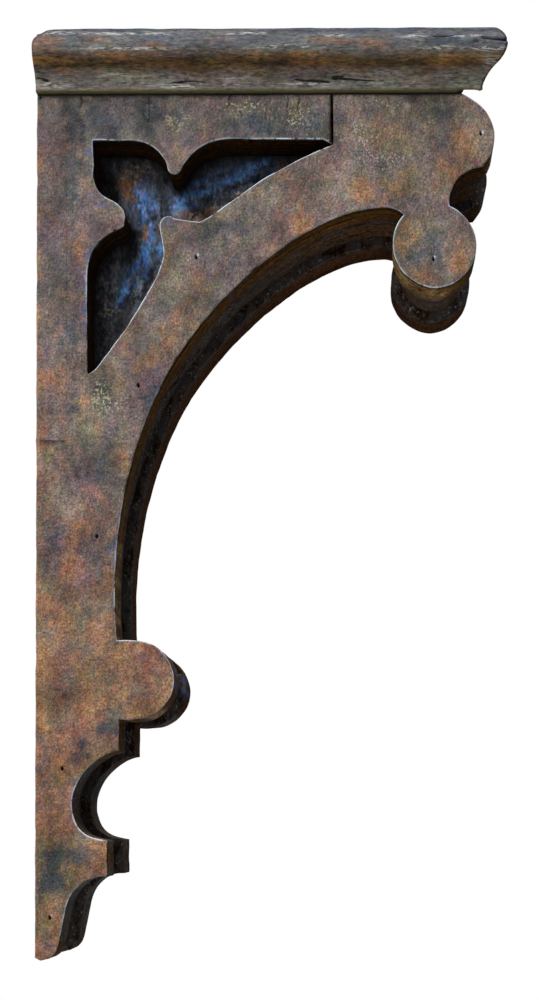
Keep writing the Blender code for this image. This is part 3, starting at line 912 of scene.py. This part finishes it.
def painted_wood(name, wear_and_glint=1.0):
    """The coats of a board: clouds, rubbed orange, slate, ochre, flecks, painted shade and highlight."""
    coat = Finish(name)
    arris, _, slate, brown = coat.marks("marks")
    hole, scuff_and_light, _, streak = coat.marks("wear")
    ochre, blue, stain_and_shade, _ = coat.marks("tints")
    cloud, patch = coat.noise(30, 44, 3.0, 5, 0.6), coat.noise(13, 17, 7.0, 6, 0.72)
    grain, fleck = coat.noise(1.4, 12, 1.0, 3), coat.noise(1.9, 2.2, 5.0, 3, 0.75)
    paint = coat.over(MAUVE, TAN, cloud, 0.42, 0.58)
    rubbed = coat.sum(coat.times(brown, 0.22), patch)
    paint = coat.over(paint, ORANGE, rubbed, 0.46, 0.86, 0.85)
    rubbed = coat.sum(coat.times(ochre, 0.26), coat.noise(6, 8, 13.0, 5, 0.75))
    paint = coat.over(paint, OCHRE, rubbed, 0.54, 0.86, 0.8)
    clouded = coat.sum(coat.times(slate, 0.30), coat.noise(15, 20, 11.0, 6, 0.75))
    paint = coat.over(paint, SLATE, clouded, 0.48, 0.94, 0.95)
    for across, along, shift, contrast in ((22, 30, 17.0, 0.7), (3.5, 4.5, 19.0, 0.35),
                                           (1.3, 1.5, 23.0, 1.2)):
        paint = coat.speckle(paint, across, along, shift, contrast)
    paint = coat.over(paint, SOOT_AND_SHADE, fleck, 0.38, 0.24, 0.6)
    paint = coat.over(paint, PALE, fleck, 0.64, 0.76, 0.75)
    paint = coat.over(paint, SOOT_AND_SHADE, grain, 0.42, 0.26, 0.2)
    scuffed = coat.broken(scuff_and_light, coat.noise(1.7, 1.9, 2.0, 2, 0.6), 0.54, 0.62)
    paint = coat.mix(coat.times(scuffed, 0.9), paint, PALE)
    paint = coat.mix(coat.times(streak, 0.7), paint, ORANGE)
    paint = coat.mix(coat.times(coat.broken(blue, patch, 0.40, 0.56), 0.8), paint, BLUE)
    # The third tint darkens stains and dark joints, and lays in the painted shade under the cap.
    paint = coat.mix(coat.times(stain_and_shade, 0.85), paint, SOOT_AND_SHADE)
    # A painted highlight: the pale sky colour along the arrises, broken up by noise.
    arris_glint = coat.broken(arris, coat.noise(5.0, 7.0, 4.0, 4, 0.7), 0.36, 0.50)
    paint = coat.mix(coat.times(arris_glint, 1.4 * wear_and_glint), paint, SKY)
    paint = coat.over(paint, NEAR_BLACK, hole, 0.25, 0.8)
    height = coat.sum(coat.sum(coat.times(grain, 0.3), fleck), coat.times(patch, 0.6))
    return coat.close(paint, fleck, (0.42, 0.62), height, 0.0013, specular=0.25)


# %% The sawn edges
# SAND is painted light on dim sawn edges, and AZURE a painted blue sheen.
EDGE_GREY, SAND, AZURE = (0.170, 0.190, 0.185), (0.600, 0.370, 0.150), (0.170, 0.370, 0.950)
# The groove colours are dark specked paint, laid as the painted shade of the groove.
GROOVE_BROWN, GROOVE_GREY = (0.036, 0.016, 0.007), (0.125, 0.104, 0.096)


def sawn_wood(name, dull, warm, olive):
    """The sawn edge of a board: warm in the middle, painted shade towards the groove, streaked across.
    """
    coat = Finish(name)
    slate, (_, painted_edge_light, groove, _) = coat.marks("marks")[2], coat.marks("wear")
    _, blue, shade, middle = coat.marks("tints")
    streaks = coat.add("ShaderNodeMapping", {"Vector": coat.place, "Scale": (14, 330, 14)})
    streaks = coat.add("ShaderNodeTexNoise", {"Vector": streaks, "Scale": 1.0, "Detail": 5.0,
                                              "Roughness": 0.7})
    patch, fleck = coat.noise(8, 10, 7.0, 5, 0.72), coat.noise(2.2, 2.6, 5.0, 3, 0.7)
    paint = coat.mix(coat.broken(middle, streaks, 0.34, 0.62), dull, warm)
    paint = coat.over(paint, olive, patch, 0.46, 0.66, 0.7)
    paint = coat.mix(coat.broken(slate, patch, 0.30, 0.54), paint, EDGE_GREY)
    # Painted light: sand colour on the dim parts of the sawn edges.
    paint = coat.mix(coat.broken(painted_edge_light, patch, 0.32, 0.60), paint, SAND)
    paint = coat.speckle(paint, 2.5, 3.0, 29.0, 1.6)
    paint = coat.over(paint, NEAR_BLACK, fleck, 0.44, 0.28, 0.8)
    # Towards the groove the edge turns to dark specked paint: painted shade of the groove.
    specks = coat.over(GROOVE_BROWN, GROOVE_GREY, coat.noise(9, 16, 21.0, 5, 0.7), 0.38, 0.56)
    specks = coat.over(specks, PALE, coat.noise(1.8, 2.4, 14.0, 3, 0.7), 0.58, 0.70)
    paint = coat.mix(coat.times(groove, 0.94), paint, specks)
    # Painted shade on parts of the sawn edges, in near-black.
    paint = coat.mix(coat.times(shade, 0.85), paint, NEAR_BLACK)
    # A painted blue sheen of the light.
    paint = coat.mix(coat.broken(blue, patch, 0.34, 0.54), paint, AZURE)
    height = coat.sum(coat.times(streaks, 0.8), fleck)
    return coat.close(paint, fleck, (0.55, 0.70), height, 0.0008, specular=0.01)


# The hidden side's arrises get half as strong a painted highlight.
face_paint, hidden_paint = painted_wood("face_paint"), painted_wood("hidden_paint", wear_and_glint=0.5)
face_edge = sawn_wood("face_edge", (0.048, 0.018, 0.004), (0.260, 0.105, 0.022), (0.110, 0.078, 0.022))
hidden_edge = sawn_wood("hidden_edge", (0.050, 0.018, 0.006), (0.150, 0.055, 0.018),
                        (0.060, 0.034, 0.012))
core_edge = sawn_wood("core_edge", (0.020, 0.008, 0.003), (0.230, 0.088, 0.016), (0.080, 0.040, 0.010))


# %% The core and the floor of the recess
# The first two are the floor's own colours; the third is its painted blue sheen.
FLOOR_DARK, FLOOR_GREY, FLOOR_SHEEN_BLUE = (0.020, 0.021, 0.028), (0.110, 0.124, 0.150), (0.110, 0.310, 0.760)
RUST, DRY = (0.260, 0.100, 0.030), (0.340, 0.290, 0.200)


def groove_wood():
    """Dark varnished wood with a painted sheen of blue light and painted shade on the recess floor."""
    coat = Finish("groove_wood")
    blue, _, dark, rust = coat.marks("marks")
    dry = coat.marks("wear")[0]
    patch, brush = coat.noise(6, 13, 2.0, 5, 0.72), coat.noise(2.2, 8, 8.0, 4, 0.7)
    fleck = coat.noise(2.0, 2.6, 5.0, 3, 0.7)
    paint = coat.over(FLOOR_DARK, FLOOR_GREY, patch, 0.40, 0.64)
    # A painted reflection: blue sheen of the light on the varnished floor.
    paint = coat.mix(coat.times(coat.broken(blue, brush, 0.32, 0.52), 0.9), paint, FLOOR_SHEEN_BLUE)
    paint = coat.mix(coat.broken(rust, patch, 0.38, 0.58), paint, RUST)
    paint = coat.mix(coat.broken(dry, fleck, 0.48, 0.64), paint, DRY)
    paint = coat.speckle(paint, 4.0, 8.0, 29.0, 1.0)
    paint = coat.speckle(paint, 1.6, 2.8, 19.0, 0.8)
    # Painted shade by the walls of the recess, and darkening along the gouges.
    paint = coat.mix(coat.times(dark, 0.88), paint, NEAR_BLACK)
    height = coat.sum(coat.times(brush, 0.8), patch)
    return coat.close(paint, patch, (0.32, 0.50), height, 0.0012, specular=0.15)


core_paint = groove_wood()


# %% The cap
CAP_GREY, CAP_TAN, CAP_SLATE = (0.150, 0.140, 0.124), (0.190, 0.160, 0.126), (0.068, 0.076, 0.098)
# CAP_LOWER is the paler colour painted low on the moulding as light.
CAP_DULL, CAP_RUBBED, CAP_LOWER = (0.110, 0.110, 0.116), (0.200, 0.095, 0.045), (0.235, 0.222, 0.190)
BAND_DARK, BAND_WARM = (0.060, 0.034, 0.010), (0.290, 0.140, 0.028)
CHALK, CAP_ARRIS = (0.72, 0.70, 0.62), (0.200, 0.165, 0.060)


def cap_wood():
    """Slate-grey weathered moulding with pale streaks, a brown band in its hollow, painted light below.
    """
    coat = Finish("cap_paint")
    streaks, brown, slate, arris = coat.marks("marks")
    gap, warm, lower = coat.marks("wear")[:3]
    coat.place = coat.add("ShaderNodeMapping", {"Vector": coat.place, "Rotation": (0, math.pi / 2, 0)})
    cloud, patch = coat.noise(12, 34, 3.0, 5, 0.65), coat.noise(5, 24, 7.0, 6, 0.75)
    grain, fleck = coat.noise(0.9, 16, 1.0, 3), coat.noise(1.6, 4.0, 5.0, 3, 0.75)
    paint = coat.over(CAP_GREY, CAP_TAN, cloud, 0.40, 0.60)
    paint = coat.mix(coat.broken(slate, patch, 0.32, 0.54), paint, CAP_SLATE)
    paint = coat.over(paint, coat.over(CAP_DULL, CAP_GREY, patch, 0.40, 0.60), cloud, 0.44, 0.56, 0.6)
    rubbed = coat.sum(coat.times(warm, 0.26), patch)
    paint = coat.over(paint, CAP_RUBBED, rubbed, 0.56, 0.84, 0.85)
    paint = coat.mix(brown, paint, coat.over(BAND_DARK, BAND_WARM, patch, 0.36, 0.60))
    # Painted light: a paler band low on the moulding, where its curve faces down.
    paint = coat.mix(coat.broken(lower, cloud, 0.38, 0.60, 0.8, 0.3), paint, CAP_LOWER)
    paint = coat.speckle(paint, 9, 26, 17.0, 0.5)
    paint = coat.speckle(paint, 1.6, 4.0, 19.0, 1.3)
    paint = coat.over(paint, SOOT_AND_SHADE, fleck, 0.42, 0.26, 0.8)
    paint = coat.over(paint, PALE, fleck, 0.60, 0.76, 0.55)
    paint = coat.over(paint, SOOT_AND_SHADE, grain, 0.44, 0.28, 0.6)
    pale = coat.broken(streaks, coat.noise(0.9, 6, 9.0, 4, 0.7), 0.49, 0.54)
    paint = coat.mix(coat.times(pale, 1.1), paint, CHALK)
    paint = coat.mix(coat.broken(arris, fleck, 0.30, 0.50), paint, CAP_ARRIS)
    paint = coat.over(paint, NEAR_BLACK, gap, 0.2, 0.7)
    height = coat.sum(coat.times(grain, 0.7), fleck)
    return coat.close(paint, fleck, (0.36, 0.55), height, 0.0008, specular=0.3)


cap_paint = cap_wood()

# %% Give each piece its paints
FINISHES = [(arch_board, "face_wood", face_paint, face_edge), (core, "core_wood", core_paint, core_edge),
            (corner_board, "face_wood", face_paint, face_edge), (cap, "cap_wood", cap_paint),
            (wall_strip, "face_wood", face_paint, face_edge),
            (hidden_board, "back_wood", hidden_paint, hidden_edge)]
for piece, slot, *paints in FINISHES:
    for paint in paints:
        piece.data.materials.append(paint)
    print(piece.name, "is finished in", ", ".join(paint.name for paint in paints))

# %% [markdown]
# ## Studio and camera
#
# The bracket hangs as it would on its wall, with a pale floor far below it. One large soft lamp
# stands in front, up and to the left, so the top of the cap is the brightest and the undersides
# stay dark. A cool one above, a weak one in front and one behind keep the rest readable. The
# camera looks at the bracket square on, from low down, so that the underside of the arch and of
# the round drop show, and its lens is shifted up to keep the uprights parallel.

# %% Floor and light
FLOOR_LEVEL, FLOOR_RADIUS = -1.3, 1.4


def make_floor():
    """A wide pale disc below the bracket."""
    turn = np.linspace(0, math.tau, 97)[:-1]
    ring = np.column_stack([FLOOR_RADIUS * np.cos(turn), FLOOR_RADIUS * np.sin(turn),
                            turn * 0 + FLOOR_LEVEL])
    mesh = bpy.data.meshes.new("floor")
    mesh.from_pydata(ring.tolist(), [], [list(range(len(ring)))])
    floor = bpy.data.objects.new("floor", mesh)
    bpy.context.collection.objects.link(floor)
    pale = Finish("floor_paint")
    pale.shader.inputs["Base Color"].default_value = (0.55, 0.55, 0.55, 1)
    pale.shader.inputs["Roughness"].default_value = 0.9
    floor.data.materials.append(pale.material)
    return floor


def lamp(name, spot, aim, size, watts, colour=(1, 1, 1)):
    """A square area lamp at the spot, turned to face the aim."""
    light = bpy.data.lights.new(name, "AREA")
    light.size, light.energy, light.color = size, watts, colour
    thing = bpy.data.objects.new(name, light)
    thing.location = spot
    thing.rotation_euler = (Vector(aim) - Vector(spot)).to_track_quat("-Z", "Y").to_euler()
    bpy.context.collection.objects.link(thing)
    return thing


floor = make_floor()
middle = (0.12, 0.0, 0.0)
lamp("key_light", (-1.2, -2.2, 2.0), middle, 1.2, 78)
lamp("sky_light", (0.2, -0.9, 2.4), middle, 2.0, 20, (0.72, 0.86, 1.0))
lamp("fill_light", (-0.4, -2.8, 0.2), middle, 1.6, 12)
lamp("back_light", (0.4, 2.4, 1.8), middle, 1.6, 40)

world = bpy.data.worlds.new("studio")
bpy.context.scene.world = world
world.use_nodes = True
nodes, links = world.node_tree.nodes, world.node_tree.links
room = nodes["Background"]
room.inputs["Color"].default_value = (0.85, 0.92, 1.0, 1)
room.inputs["Strength"].default_value = 0.12
backdrop = nodes.new("ShaderNodeBackground")
backdrop.inputs["Color"].default_value = (1, 1, 1, 1)
choose, ray = nodes.new("ShaderNodeMixShader"), nodes.new("ShaderNodeLightPath")
links.new(ray.outputs["Is Camera Ray"], choose.inputs[0])
links.new(room.outputs[0], choose.inputs[1])
links.new(backdrop.outputs[0], choose.inputs[2])
links.new(choose.outputs[0], nodes["World Output"].inputs["Surface"])
bpy.context.scene.view_settings.view_transform = "Standard"

# %% Camera
PITCH, ROLL = math.radians(1.879), math.radians(-0.233)
CAMERA_SPOT = (0.2166, -1.1197, -0.2165)
FOCAL_LENGTH, SHIFT_ACROSS, SHIFT_UP = 59.029, -0.0974, 0.27
ahead = np.array([0, math.cos(PITCH), math.sin(PITCH)])
right = np.array([1.0, 0, 0])
up = np.cross(right, ahead)
rolled_right = math.cos(ROLL) * right + math.sin(ROLL) * up
rolled_up = math.cos(ROLL) * up - math.sin(ROLL) * right

lens = bpy.data.cameras.new("camera")
lens.lens, lens.shift_x, lens.shift_y = FOCAL_LENGTH, SHIFT_ACROSS, SHIFT_UP
camera = bpy.data.objects.new("camera", lens)
axes = np.eye(4)
axes[:3, 0], axes[:3, 1], axes[:3, 2] = rolled_right, rolled_up, -ahead
axes[:3, 3] = CAMERA_SPOT
camera.matrix_world = Matrix(axes.tolist())
bpy.context.collection.objects.link(camera)
bpy.context.scene.camera = camera
